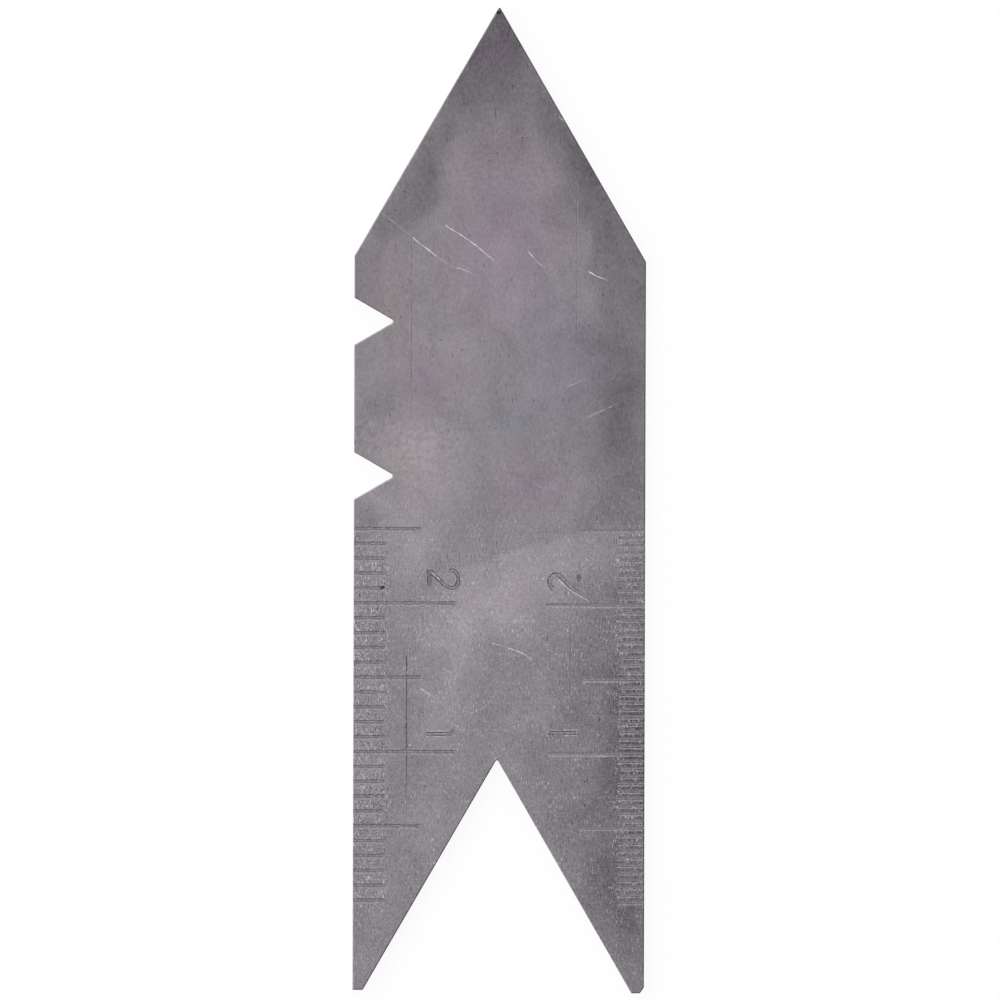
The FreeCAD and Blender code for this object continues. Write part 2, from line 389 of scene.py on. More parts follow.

# %% [markdown]
# Flecks that shine lie in patches, pits hold dirt, and the grinding left dark lines here and there.
# The rim carries painted shade and grime where it faces right or the tail, in blotches, and most of
# it near the tail.

# %% Flecks, and painted shade and grime on the rim
PATCHES = (1.1, 1.6, 1.0)
RIM_BLOTCHES = (0.5, 1.4, 1.0)

# The size of a dot or dash across and along the plate, the least noise that makes one, its levels
# and where such dots lie.
FLECKS = (
    ((0.06, 0.32, 1.0), 0.11, 78, "in patches"),
    ((0.14, 0.15, 1.0), 0.12, 50, "between marks"),
    ((0.1, 0.1, 1.0), 0.2, 50, "everywhere"),
    ((0.11, 0.34, 1.0), 0.19, -40, "where rough"),
    ((0.08, 0.5, 1.0), 0.18, -36, "everywhere"),
    ((0.3, 0.34, 1.0), 0.26, -40, "everywhere"),
    ((0.14, 1.8, 1.0), 0.22, -24, "everywhere"),
)


def bright_patches(tree, pushed, coarse):
    """Patches where flecks shine, the more the rougher the metal is."""
    patches = centred_noise(tree, pushed, PATCHES, 2.0)
    patches = add(tree, "ShaderNodeMapRange", {
        "Value": patches, "From Min": -0.12, "From Max": 0.14,
    })
    roughest = add(tree, "ShaderNodeMath", {0: coarse, 1: 2.0}, operation="POWER")
    return add(tree, "ShaderNodeMath", {0: patches, 1: roughest}, operation="MULTIPLY")


def strewn_flecks(tree, place, shares):
    """A layer for each kind of dot or dash. Shares say how strong it is from place to place."""
    layers = []
    for stretch, least, levels, where in FLECKS:
        strewn = centred_noise(tree, place, stretch, 1.0)
        flecks = add(tree, "ShaderNodeMapRange", {
            "Value": strewn, "From Min": least, "From Max": least + 0.1,
        })
        flecks = add(tree, "ShaderNodeMath", {0: flecks, 1: shares[where]}, operation="MULTIPLY")
        layers.append((flecks, levels))
    return layers


def rim_shade_and_dirt(tree, place, sides):
    """Painted shade and grime in blotches, the more the further a surface faces right or the tail.
    """
    facing = add(tree, "ShaderNodeNewGeometry").node.outputs["True Normal"]
    facing = add(tree, "ShaderNodeSeparateXYZ", {0: facing}).node.outputs
    lean = add(tree, "ShaderNodeMath", {0: facing["X"], 1: facing["Y"]}, operation="SUBTRACT")
    shaded = add(tree, "ShaderNodeMath", {0: lean, 1: 0.0}, operation="MAXIMUM")
    blotches = centred_noise(tree, place, RIM_BLOTCHES, 2.0)
    blotches = add(tree, "ShaderNodeMapRange", {
        "Value": blotches, "From Min": -0.25, "From Max": 0.25, "To Min": 0.6, "To Max": 1.4,
    })
    shade_and_grime = add(tree, "ShaderNodeMath", {0: shaded, 1: blotches}, operation="MULTIPLY")
    worst = add(tree, "ShaderNodeMapRange", {
        "Value": sides["Y"], "From Min": -20.0, "From Max": -28.0, "To Min": 0.7, "To Max": 1.8,
    })
    return add(tree, "ShaderNodeMath", {0: shade_and_grime, 1: worst}, operation="MULTIPLY")


print(len(FLECKS), "kinds of fleck")

# %% [markdown]
# The flat steel puts all of this together. It is a metal, so its colour is the colour of what it
# mirrors, and a middling roughness blurs the room to a dull sheen. Noise that is stretched along
# the plate stands for the grain, and it also moves the roughness and a very low bump, which gives
# the eye the glint of ground steel. The clouds are pushed about by slow noise so that no outline
# looks drawn.

# %% Ground steel
# A pixel of the picture is 0.067 mm. The lines of the grinding are finer, so the grain is drawn as
# coarse as it needs to show. All sizes are across and along the plate, in millimetres.
GRAIN = (0.08, 0.6, 1.0)
GRAIN_SHARE = 0.6
SPECKS = (0.11, 0.11, 0.11)
DAPPLES = (0.22, 0.33, 0.11)
SMEARS = (1.6, 2.56, 1.6)
SWIRLS = (0.26, 0.34, 1.0)
DRIFTS_PER_MM = 0.22
CLOUD_PUSH = (5.0, 5.0, 0.0)
SCUFF_PUSH = (3.0, 0.8, 0.0)
ROLLED_ROUGHNESS = 0.8
BUMP_HEIGHT = 0.003 * MM


def tinted(tree, colour, place):
    """A colour seen through the films of tarnish."""
    films = [(1.0, PLAIN_FILM)]
    for across, along, wide, long, turn, film in FILMS:
        films.append((cloud(tree, place, (across, along), (wide, long), turn), film))
    for share, film in films:
        colour = add(tree, "ShaderNodeMix", {
            "Factor": share, "A": colour, "B": linear(film),
        }, data_type="RGBA", blend_type="MULTIPLY")
    return colour


def ground_steel():
    """Ground sheet steel: a dull grey sheen, streaked along the plate and clouded by tarnish."""
    material, tree = new_material("ground_sheet_steel")
    metres = add(tree, "ShaderNodeTexCoord").node.outputs["Object"]
    place = add(tree, "ShaderNodeVectorMath", {0: metres, "Scale": 1 / MM}, operation="SCALE")
    sides = add(tree, "ShaderNodeSeparateXYZ", {0: place}).node.outputs
    drift = add(tree, "ShaderNodeTexNoise", {
        "Vector": place, "Scale": DRIFTS_PER_MM, "Detail": 3.0,
    })
    drift = add(tree, "ShaderNodeVectorMath", {
        0: drift.node.outputs["Color"], 1: (0.5, 0.5, 0.5),
    }, operation="SUBTRACT")
    pushed = add(tree, "ShaderNodeVectorMath", {
        0: drift, 1: CLOUD_PUSH, 2: place,
    }, operation="MULTIPLY_ADD")
    worn = add(tree, "ShaderNodeVectorMath", {
        0: drift, 1: SCUFF_PUSH, 2: place,
    }, operation="MULTIPLY_ADD")
    worn_sides = add(tree, "ShaderNodeSeparateXYZ", {0: worn}).node.outputs

    # Rubbing has left the lower half rougher, and the metal between marks is roughest.
    rubbed = add(tree, "ShaderNodeMapRange", {
        "Value": sides["Y"], "From Min": 4.0, "From Max": -5.0, "To Min": 0.37, "To Max": 1.0,
    })
    rolled = rolled_rows(tree, sides)
    coarse = add(tree, "ShaderNodeMath", {
        0: rolled, 1: ROLLED_ROUGHNESS, 2: rubbed,
    }, operation="MULTIPLY_ADD")
    grain = centred_noise(tree, place, GRAIN, 2.0)
    specks = centred_noise(tree, place, SPECKS, 2.0)
    fine = add(tree, "ShaderNodeMath", {
        0: grain, 1: GRAIN_SHARE, 2: specks,
    }, operation="MULTIPLY_ADD")
    fine = add(tree, "ShaderNodeMath", {0: fine, 1: coarse}, operation="MULTIPLY")

    layers = []
    for across, along, wide, long, turn, levels in CLOUDS:
        oval = cloud(tree, pushed, (across, along), (wide, long), turn)
        layers.append((oval, levels))
    layers += [
        (fine, 62),
        (centred_noise(tree, place, DAPPLES, 1.0), 18),
        (centred_noise(tree, pushed, SMEARS, 3.0), 26),
        (centred_noise(tree, pushed, SWIRLS, 2.0), 12),
        (last_wipe(tree, worn_sides), 11),
        (scuffed_patch(tree, place, worn_sides), 56),
    ]
    layers += strewn_flecks(tree, place, {
        "in patches": bright_patches(tree, pushed, coarse),
        "between marks": rolled,
        "where rough": coarse,
        "everywhere": 1.0,
    })
    # Painted shade and grime darken the rim where it faces right or the tail.
    layers.append((rim_shade_and_dirt(tree, place, sides), -110))
    grey = add(tree, "ShaderNodeMix", {
        "Factor": layered(tree, PLAIN_TONE, layers),
        "A": linear(STEEL_DARK), "B": linear(STEEL_LIGHT),
    }, data_type="RGBA")

    roughness = add(tree, "ShaderNodeMapRange", {
        "Value": fine, "From Min": -0.3, "From Max": 0.3, "To Min": 0.34, "To Max": 0.46,
    })
    bump = add(tree, "ShaderNodeBump", {"Height": fine, "Strength": 1.0, "Distance": BUMP_HEIGHT})
    steel = add(tree, "ShaderNodeBsdfPrincipled", {
        "Base Color": tinted(tree, grey, pushed), "Metallic": 1.0,
        "Roughness": roughness, "Normal": bump,
    })
    add(tree, "ShaderNodeOutputMaterial", {"Surface": steel})
    return material


plate_steel = ground_steel()
print("flat faces:", plate_steel.name, len(plate_steel.node_tree.nodes), "nodes")

# %% [markdown]
# Every cut has steel of its own. Pressed metal is smoother and mottled, and a fresh scratch is bare
# and bright. Where the steep sides of a cut are given a colour darker than its mottle, that is
# painted shade in the cut, and the lighter steel of the lips is a painted highlight. So each is
# given the dark and the light of its mottle, the colour of its steep sides and its roughness.

# %% Steel in and beside the cuts
MOTTLES_PER_MM = 9.0


def cut_steel(name, dark, light, wall, roughness):
    """Steel in or beside a cut: mottled, and given the wall colour wherever it is steep, which is
    painted shade where that colour is darker.
    """
    material, tree = new_material(name)
    metres = add(tree, "ShaderNodeTexCoord").node.outputs["Object"]
    mottle = add(tree, "ShaderNodeTexNoise", {
        "Vector": metres, "Scale": MOTTLES_PER_MM / MM, "Detail": 2.0,
    })
    share = add(tree, "ShaderNodeMapRange", {"Value": mottle, "From Min": 0.4, "From Max": 0.68})
    metal = add(tree, "ShaderNodeMix", {
        "Factor": share, "A": linear(dark), "B": linear(light),
    }, data_type="RGBA")
    facing = add(tree, "ShaderNodeNewGeometry").node.outputs["True Normal"]
    facing = add(tree, "ShaderNodeSeparateXYZ", {0: facing}).node.outputs["Z"]
    steep = add(tree, "ShaderNodeMapRange", {"Value": facing, "From Min": 0.99, "From Max": 0.93})
    colour = add(tree, "ShaderNodeMix", {
        "Factor": steep, "A": metal, "B": linear(wall),
    }, data_type="RGBA")
    steel = add(tree, "ShaderNodeBsdfPrincipled", {
        "Base Color": colour, "Metallic": 1.0, "Roughness": roughness,
    })
    add(tree, "ShaderNodeOutputMaterial", {"Surface": steel})
    return material


# The lip steels are lighter than the plate: a painted highlight on the raised lips, brightest on
# the long lips and on the lips of the 1s.
lip_steel = cut_steel("raised_lip_steel", "#827D82", "#ACA8AB", "#9C979B", 0.4)
long_lip_highlight_steel = cut_steel("painted_highlight_long_lip_steel", "#8A858A", "#BEBABD", "#A8A4A7", 0.38)
burr_highlight_steel = cut_steel("painted_highlight_stamped_lip_steel", "#A29DA1", "#E0DCDF", "#D0CCCF", 0.36)
# Where a wall colour here is darker than both colours of its mottle, it is painted shade on the
# steep sides of the cuts.
groove_steel = cut_steel("rolled_groove_steel", "#767176", "#989398", "#5E5A5E", 0.45)
worn_steel = cut_steel("worn_groove_steel", "#767176", "#989398", "#807B80", 0.42)
shaded_trough_steel = cut_steel("painted_shade_trough_steel", "#706B70", "#868186", "#4E4A4D", 0.5)
stamped_steel = cut_steel("stamped_trough_steel", "#767176", "#A29DA1", "#4E4A4D", 0.45)
shallow_steel = cut_steel("shallow_trough_steel", "#7C777C", "#A8A4A7", "#666166", 0.45)
grimy_steel = cut_steel("grimy_scribed_steel", "#524E52", "#726D72", "#625D62", 0.55)
faint_steel = cut_steel("faintly_scribed_steel", "#767176", "#8A858A", "#7E797E", 0.5)
pit_steel = cut_steel("dirty_pit_steel", "#2E2A2D", "#4A464A", "#3A3639", 0.6)
bright_steel = cut_steel("bare_scratch_and_painted_highlight_steel", "#B0ABB0", "#E0DCDF", "#D0CCCF", 0.3)
dull_steel = cut_steel("dull_scratched_steel", "#8A858A", "#B0ABB0", "#A29DA1", 0.35)
print("steels:", [material.name for material in bpy.data.materials])

# %% [markdown]
# The blank is a flat outline given a thickness. All of its angles are 60 degrees, so a few sizes
# give every corner: the point and the fishtail share an axis but for a hair, and the notches are
# set out from the tip. Working in millimetres and shrinking the finished mesh once keeps the
# numbers readable. The inner corners are rounded as a grinding wheel leaves them, wear has blunted
# the tip, and a narrow bevel breaks the rim.

# %% Outline
AXIS = -0.13
POINT_AXIS = -0.1
HALF_ANGLE = math.radians(30)
TIP_TO_NOTCH = 21.2
NOTCH_PITCH = 10.4
NOTCH_MOUTH = 3.18
HORN_END = 0.84
LEFT_HORN_STEP = 0.18
CLIP_ACROSS = 0.28
CLIP_ALONG = 0.39
NOTCH_ROOT_RADIUS = 0.16
FISHTAIL_ROOT_RADIUS = 0.1
TIP_WEAR = 0.09
EDGE_BREAK = 0.07
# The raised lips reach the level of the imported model's face, so the flat face lies under it.
LIP_HEIGHT = 0.006
FACE = high.z - LIP_HEIGHT


def rounded(before, corner, after, radius, steps=6):
    """The points of an arc that takes the place of a sharp corner."""
    first = (before - corner).normalized()
    second = (after - corner).normalized()
    half = first.angle(second) / 2
    middle = corner + (first + second).normalized() * radius / math.sin(half)
    start = corner + first * radius / math.tan(half) - middle
    end = corner + second * radius / math.tan(half) - middle
    turn = math.atan2(start.x * end.y - start.y * end.x, start.dot(end))
    return [middle + Matrix.Rotation(turn * step / steps, 2) @ start for step in range(steps + 1)]


def plate_outline():
    """The plate's corners, in order round it from the tip by the left edge."""
    slope = math.tan(HALF_ANGLE)
    tip = Vector((POINT_AXIS, TIP))
    left_shoulder = Vector((LEFT, TIP - (POINT_AXIS - LEFT) / slope))
    right_shoulder = Vector((RIGHT, TIP - (RIGHT - POINT_AXIS) / slope))
    points = [*rounded(right_shoulder, tip, left_shoulder, TIP_WEAR), left_shoulder]
    for place in (TIP - TIP_TO_NOTCH, TIP - TIP_TO_NOTCH - NOTCH_PITCH):
        upper = Vector((LEFT, place + NOTCH_MOUTH / 2))
        lower = Vector((LEFT, place - NOTCH_MOUTH / 2))
        root = Vector((LEFT + NOTCH_MOUTH / 2 / slope, place))
        points += [upper, *rounded(upper, root, lower, NOTCH_ROOT_RADIUS), lower]
    fishtail_root = Vector((AXIS, TAIL + (RIGHT - AXIS - HORN_END) / slope))
    left_end = TAIL + LEFT_HORN_STEP
    left_horn = Vector((AXIS - (fishtail_root.y - left_end) * slope, left_end))
    right_horn = Vector((RIGHT - HORN_END, TAIL))
    points += [Vector((LEFT, left_end)), left_horn]
    points += rounded(left_horn, fishtail_root, right_horn, FISHTAIL_ROOT_RADIUS)
    points += [right_horn, Vector((RIGHT - CLIP_ACROSS, TAIL)), Vector((RIGHT, TAIL + CLIP_ALONG))]
    return points + [right_shoulder]


outline = plate_outline()
print(len(outline), "points round the plate")

# %% [markdown]
# The outline becomes a face, which is drawn up to the thickness of the sheet. Only the edges round
# the two flat sides are bevelled.

# %% Blank
def plate_blank():
    """The outline as a solid with its rim bevelled, in millimetres."""
    shape = bmesh.new()
    base = shape.faces.new([shape.verts.new((*point, low.z)) for point in outline])
    raised = bmesh.ops.extrude_face_region(shape, geom=[base])["geom"]
    upper = [item for item in raised if isinstance(item, bmesh.types.BMVert)]
    bmesh.ops.translate(shape, verts=upper, vec=(0, 0, FACE - low.z))
    bmesh.ops.recalc_face_normals(shape, faces=shape.faces)
    rim = [
        edge for edge in shape.edges
        if abs(edge.verts[0].co.z - edge.verts[1].co.z) < EDGE_BREAK
    ]
    bmesh.ops.bevel(shape, geom=rim, offset=EDGE_BREAK, segments=3, profile=0.5, affect="EDGES")
    mesh = bpy.data.meshes.new("gauge_plate_steel")
    shape.to_mesh(mesh)
    shape.free()
    mesh.materials.append(plate_steel)
    return mesh


plate = bpy.data.objects.new("gauge_plate_steel", plate_blank())
bpy.context.scene.collection.objects.link(plate)
print(len(plate.data.polygons), "faces in the blank")

# %% [markdown]
# Every mark on the plate is a groove of the same kind: a line with a section carried along it. A
# groove that a roll or a stamp presses in has a narrow flat floor and sloping walls, and the metal
# that it pushes aside stands up beside it as a low lip. So there is one group of Geometry Nodes
# that sweeps a section with named sizes along any line and lets it run out at the end. It is used
# twice on each line: once for the lip, which is joined to the plate, and then for the groove,
# which is cut out of both.

# %% Sweep a section along lines
def new_geometry_tree(name, inputs):
    """A tree of Geometry Nodes with named inputs, one geometry in and one geometry out."""
    tree = bpy.data.node_groups.new(name, "GeometryNodeTree")
    tree.interface.new_socket("Geometry", in_out="OUTPUT", socket_type="NodeSocketGeometry")
    tree.interface.new_socket("Geometry", in_out="INPUT", socket_type="NodeSocketGeometry")
    kinds = {bool: "NodeSocketBool", int: "NodeSocketInt", float: "NodeSocketFloat"}
    for label, start in inputs.items():
        kind = kinds.get(type(start), "NodeSocketMaterial")
        socket = tree.interface.new_socket(label, in_out="INPUT", socket_type=kind)
        if start is not None:
            socket.default_value = start
    return tree, tree.nodes.new("NodeGroupInput").outputs


# Floor and Mouth are a groove's widths at its bottom and at the face, Lean is how far aside its
# floor lies, and Depth and Rise are how far it goes below and above the face. A line narrows over
# Run Out to a share of its size, sways by Wander, and wear can take the share Fade of it away.
SECTION = {
    "Floor": 0.1, "Mouth": 0.3, "Lean": 0.0, "Depth": 0.05, "Rise": 0.01,
    "Run Out": 0.15, "Wander": 0.0, "Fade": 0.0,
}
SEED_STEP = 7.3
SWAYS_PER_MM = 1.6
WORN_SPOTS_PER_MM = 3.2
WEAR_RANGE = {"From Min": 0.35, "From Max": 0.6}
END_SHARE = 0.25


def trapezoid(tree, given):
    """The section of a groove, on a line at the level of the face and in the middle of its mouth.

    A line that is swept carries its section's up side down, so the section is turned half round.
    """
    height = add(tree, "ShaderNodeMath", {0: given["Depth"], 1: given["Rise"]}, operation="ADD")
    share = add(tree, "ShaderNodeMath", {0: height, 1: given["Depth"]}, operation="DIVIDE")
    widening = add(tree, "ShaderNodeMath", {
        0: given["Mouth"], 1: given["Floor"],
    }, operation="SUBTRACT")
    top = add(tree, "ShaderNodeMath", {
        0: widening, 1: share, 2: given["Floor"],
    }, operation="MULTIPLY_ADD")
    lean = add(tree, "ShaderNodeMath", {0: given["Lean"], 1: share}, operation="MULTIPLY")
    flat = add(tree, "GeometryNodeCurvePrimitiveQuadrilateral", {
        "Bottom Width": given["Floor"], "Top Width": top, "Height": height, "Offset": lean,
    }, mode="TRAPEZOID")
    sink = add(tree, "ShaderNodeMath", {0: given["Depth"], 1: given["Rise"]}, operation="SUBTRACT")
    sink = add(tree, "ShaderNodeMath", {0: sink, 1: 0.5}, operation="MULTIPLY")
    place = add(tree, "ShaderNodeCombineXYZ", {0: given["Lean"], 1: sink})
    return add(tree, "GeometryNodeTransform", {
        "Geometry": flat, "Translation": place, "Rotation": (0, 0, math.pi),
    })


def sweep_tree():
    """A closed section along every line, which runs out at the line's end and fades by chance."""
    tree, given = new_geometry_tree("pressed_section", {**SECTION, "Seed": 0})
    section = trapezoid(tree, given)

    where = add(tree, "GeometryNodeInputPosition")
    seed = add(tree, "ShaderNodeMath", {0: given["Seed"], 1: SEED_STEP}, operation="MULTIPLY")
    sway = add(tree, "ShaderNodeTexNoise", {
        "Vector": where, "W": seed, "Scale": SWAYS_PER_MM, "Detail": 1.0,
    }, noise_dimensions="4D")
    sway = add(tree, "ShaderNodeVectorMath", {
        0: sway.node.outputs["Color"], 1: (0.5, 0.5, 0.5),
    }, operation="SUBTRACT")
    sway = add(tree, "ShaderNodeVectorMath", {0: sway, "Scale": given["Wander"]}, operation="SCALE")
    level = add(tree, "ShaderNodeVectorMath", {0: sway, 1: (1, 1, 0)}, operation="MULTIPLY")
    lines = add(tree, "GeometryNodeSetPosition", {"Geometry": given["Geometry"], "Offset": level})
    lines = add(tree, "GeometryNodeSetCurveNormal", {"Curve": lines}, mode="Z_UP")

    total = add(tree, "GeometryNodeSplineLength")
    gone = add(tree, "GeometryNodeSplineParameter").node.outputs["Length"]
    left = add(tree, "ShaderNodeMath", {0: total, 1: gone}, operation="SUBTRACT")
    scale = add(tree, "ShaderNodeMapRange", {
        "Value": left, "From Max": given["Run Out"], "To Min": END_SHARE,
    })
    wear = add(tree, "ShaderNodeTexNoise", {
        "Vector": where, "W": seed, "Scale": WORN_SPOTS_PER_MM, "Detail": 1.0,
    }, noise_dimensions="4D")
    wear = add(tree, "ShaderNodeMapRange", {"Value": wear, **WEAR_RANGE})
    kept = add(tree, "ShaderNodeMath", {0: 1.0, 1: given["Fade"]}, operation="SUBTRACT")
    wear = add(tree, "ShaderNodeMapRange", {"Value": wear, "To Min": kept})
    scale = add(tree, "ShaderNodeMath", {0: scale, 1: wear}, operation="MULTIPLY")
    swept = add(tree, "GeometryNodeCurveToMesh", {
        "Curve": lines, "Profile Curve": section, "Scale": scale, "Fill Caps": True,
    })
    add(tree, "NodeGroupOutput", {0: swept})
    return tree


def pressed(tree, given, lines):
    """Finish a tree: sweep the section along its lines and hand out the result."""
    sizes = {name: given[name] for name in (*SECTION, "Seed")}
    made = add(tree, "GeometryNodeGroup", {"Geometry": lines, **sizes}, node_tree=pressed_section)
    made = add(tree, "GeometryNodeSetMaterial", {"Geometry": made, "Material": given["Steel"]})
    add(tree, "NodeGroupOutput", {0: made})
    return tree


pressed_section = sweep_tree()
print(len(pressed_section.nodes), "nodes sweep a section")

# %% [markdown]
# A scale is one row of marks: long at each number, medium half-way between and short elsewhere.
# That rule is a job for Geometry Nodes. A row of points gets a line each, as long as the point's
# place in the row says, and the group above turns the lines into cutters. The zero of each scale
# is a short mark, and a little chance in every length keeps the row from looking drawn.

# %% Rows of marks
MARK_STEP = 0.12


def row_tree():
    """Cutters for a scale: a row of lines that run in from the plate's edge."""
    inputs = {
        "Edge": 0.0, "Zero": 0.0, "Inward": 1.0, "Face": 0.0, "Marks": 2, "Marks per Number": 10,
        "Division": 1.0, "Short": 1.0, "Medium": 1.0, "Long": 1.0, "Overrun": 0.3, "Chance": 0.06,
        **SECTION, "Seed": 0, "Steel": None,
    }
    tree, given = new_geometry_tree("row_of_marks", inputs)
    back = add(tree, "ShaderNodeMath", {
        0: given["Overrun"], 1: given["Inward"],
    }, operation="MULTIPLY")
    across = add(tree, "ShaderNodeMath", {0: given["Edge"], 1: back}, operation="SUBTRACT")
    start = add(tree, "ShaderNodeCombineXYZ", {0: across, 1: given["Zero"], 2: given["Face"]})
    step = add(tree, "ShaderNodeCombineXYZ", {1: given["Division"]})
    points = add(tree, "GeometryNodeMeshLine", {
        "Count": given["Marks"], "Start Location": start, "Offset": step,
    })

    index = add(tree, "GeometryNodeInputIndex")
    after_zero = add(tree, "ShaderNodeMath", {0: index, 1: 0.5}, operation="GREATER_THAN")
    length = given["Short"]
    for name, share in (("Medium", 0.5), ("Long", 1.0)):
        every = add(tree, "ShaderNodeMath", {
            0: given["Marks per Number"], 1: share,
        }, operation="MULTIPLY")
        rest = add(tree, "ShaderNodeMath", {0: index, 1: every}, operation="MODULO")
        here = add(tree, "ShaderNodeMath", {0: rest, 1: 0.5}, operation="LESS_THAN")
        here = add(tree, "ShaderNodeMath", {0: here, 1: after_zero}, operation="MULTIPLY")
        length = add(tree, "GeometryNodeSwitch", {
            "Switch": here, "False": length, "True": given[name],
        }, input_type="FLOAT")
    less = add(tree, "ShaderNodeMath", {0: given["Chance"], 1: -1.0}, operation="MULTIPLY")
    luck = add(tree, "FunctionNodeRandomValue", {
        "Min": less, "Max": given["Chance"], "Seed": given["Seed"],
    }, data_type="FLOAT")
    length = add(tree, "ShaderNodeMath", {0: length, 1: luck}, operation="ADD")
    length = add(tree, "ShaderNodeMath", {0: length, 1: given["Overrun"]}, operation="ADD")
    reach = add(tree, "ShaderNodeMath", {0: length, 1: given["Inward"]}, operation="MULTIPLY")
    size = add(tree, "ShaderNodeCombineXYZ", {0: reach, 1: 1.0, 2: 1.0})

    unit = add(tree, "GeometryNodeCurvePrimitiveLine", {"End": (1, 0, 0)})
    lines = add(tree, "GeometryNodeInstanceOnPoints", {
        "Points": points, "Instance": unit, "Scale": size,
    })
    lines = add(tree, "GeometryNodeRealizeInstances", {"Geometry": lines})
    lines = add(tree, "GeometryNodeResampleCurve", {
        "Curve": lines, "Length": MARK_STEP,
    }, mode="LENGTH")
    return pressed(tree, given, lines)


row_of_marks = row_tree()
print(len(row_of_marks.nodes), "nodes set out a row")

# %% [markdown]
# A modifier only shows what a tree makes. To keep it, the finished mesh goes to an object of its
# own, and its faces, open edges and volume tell whether it is sound.

# %% Keep what a tree makes
def finished(item):
    """An object's mesh with its modifiers carried out."""
    evaluated = item.evaluated_get(bpy.context.evaluated_depsgraph_get())
    return bpy.data.meshes.new_from_object(evaluated)


def describe(mesh):
    """Print how many faces and open edges a mesh has, and its volume."""
    shape = bmesh.new()
    shape.from_mesh(mesh)
    open_edges = sum(1 for edge in shape.edges if not edge.is_manifold)
    volume = round(shape.calc_volume(signed=True), 3)
    print(mesh.name, len(shape.faces), "faces", open_edges, "open edges", volume, "cubic mm")
    shape.free()


def through(tree, name, data, sizes):
    """Send lines, or nothing, through a tree, and keep what comes out as a plain mesh object."""
    item = bpy.data.objects.new(name, data)
    bpy.context.scene.collection.objects.link(item)
    step = item.modifiers.new(name, "NODES")
    step.node_group = tree
    for socket in tree.interface.items_tree:
        if socket.in_out == "INPUT" and socket.name in sizes:
            step[socket.identifier] = sizes[socket.name]
    mesh = finished(item)
    mesh.name = name
    mesh.shade_flat()
    describe(mesh)
    bpy.data.objects.remove(item)
    made = bpy.data.objects.new(name, mesh)
    bpy.context.scene.collection.objects.link(made)
    return made


print("helpers: describe, through")

# %% [markdown]
# Both scales are this row with other numbers, over the same 25 mm: a mark for each millimetre on
# the left, and for each half on the right, where the marks are more worn.

# %% Both scales
GROOVE = {
    "Floor": 0.14, "Mouth": 0.24, "Lean": -0.01, "Depth": 0.03, "Rise": 0.012,
    "Run Out": 0.1, "Wander": 0.01, "Fade": 0.35,
}
LIP = {
    "Floor": 0.44, "Mouth": 0.28, "Depth": LIP_HEIGHT, "Rise": LIP_HEIGHT,
    "Run Out": 0.15, "Wander": 0.02, "Fade": 0.5, "Overrun": -0.1,
}
LEFT_SCALE = {
    "Edge": LEFT, "Zero": TAIL + 6.22, "Inward": 1.0, "Marks": 26, "Marks per Number": 10,
    "Division": 1.0, "Short": 2.15, "Medium": 4.6, "Long": 6.9, "Seed": 3,
}
RIGHT_SCALE = {
    "Edge": RIGHT, "Zero": TAIL + 6.15, "Inward": -1.0, "Marks": 51, "Marks per Number": 20,
    "Division": 0.5, "Short": 1.8, "Medium": 4.3, "Long": 6.64, "Seed": 8,
}
# The metal that the roll pushed aside stands on the tail side of each mark.
LEFT_LIP = {**LIP, "Zero": LEFT_SCALE["Zero"] - 0.17}
RIGHT_GROOVE = {**GROOVE, "Floor": 0.07, "Mouth": 0.19, "Lean": -0.04, "Depth": 0.018}
RIGHT_LIP = {**LIP, "Zero": RIGHT_SCALE["Zero"] - 0.2, "Floor": 0.22, "Mouth": 0.1, "Rise": 0.005}
lips = []
cutters = []
for side, scale, lip, groove, metal in (
    ("left", LEFT_SCALE, LEFT_LIP, GROOVE, groove_steel),
    ("right", RIGHT_SCALE, RIGHT_LIP, RIGHT_GROOVE, worn_steel),
):
    for made, section, steel in ((lips, lip, lip_steel), (cutters, groove, metal)):
        sizes = {**scale, **section, "Face": FACE, "Steel": steel}
        made.append(through(row_of_marks, f"{side}_marks", bpy.data.meshes.new("nothing"), sizes))

# %% [markdown]
# The numbers 1 and 2 stand beside the long marks and read from the plate's sides. They were
# stamped, so each stroke is a shallow trough with sharp sides, and scratches are troughs as well.
# All of them are lines drawn as curves, and one tree gives each kind its section.

# %% Lines drawn as curves
def line_tree():
    """Any curves, with the pressed section along them."""
    tree, given = new_geometry_tree("drawn_lines", {
        "Step": 0.1, **SECTION, "Seed": 0, "Steel": None,
    })
    lines = add(tree, "GeometryNodeResampleCurve", {
        "Curve": given["Geometry"], "Length": given["Step"],
    }, mode="LENGTH")
    return pressed(tree, given, lines)


def drawn(name, strokes):
    """Curves through points on the plate's face. Two points make a straight line."""
    curves = bpy.data.curves.new(name, "CURVE")
    curves.dimensions = "3D"
    curves.resolution_u = 12
    for points in strokes:
        spline = curves.splines.new("BEZIER")
        spline.bezier_points.add(len(points) - 1)
        for knot, point in zip(spline.bezier_points, points):
            knot.co = (*point, FACE)
            knot.handle_left_type = "AUTO"
            knot.handle_right_type = "AUTO"
    return curves


def pressed_lines(name, strokes, section, steel):
    """An object with the section along some strokes."""
    return through(drawn_lines, name, drawn(name, strokes), {**section, "Steel": steel})


drawn_lines = line_tree()
print(len(drawn_lines.nodes), "nodes follow a drawn line")
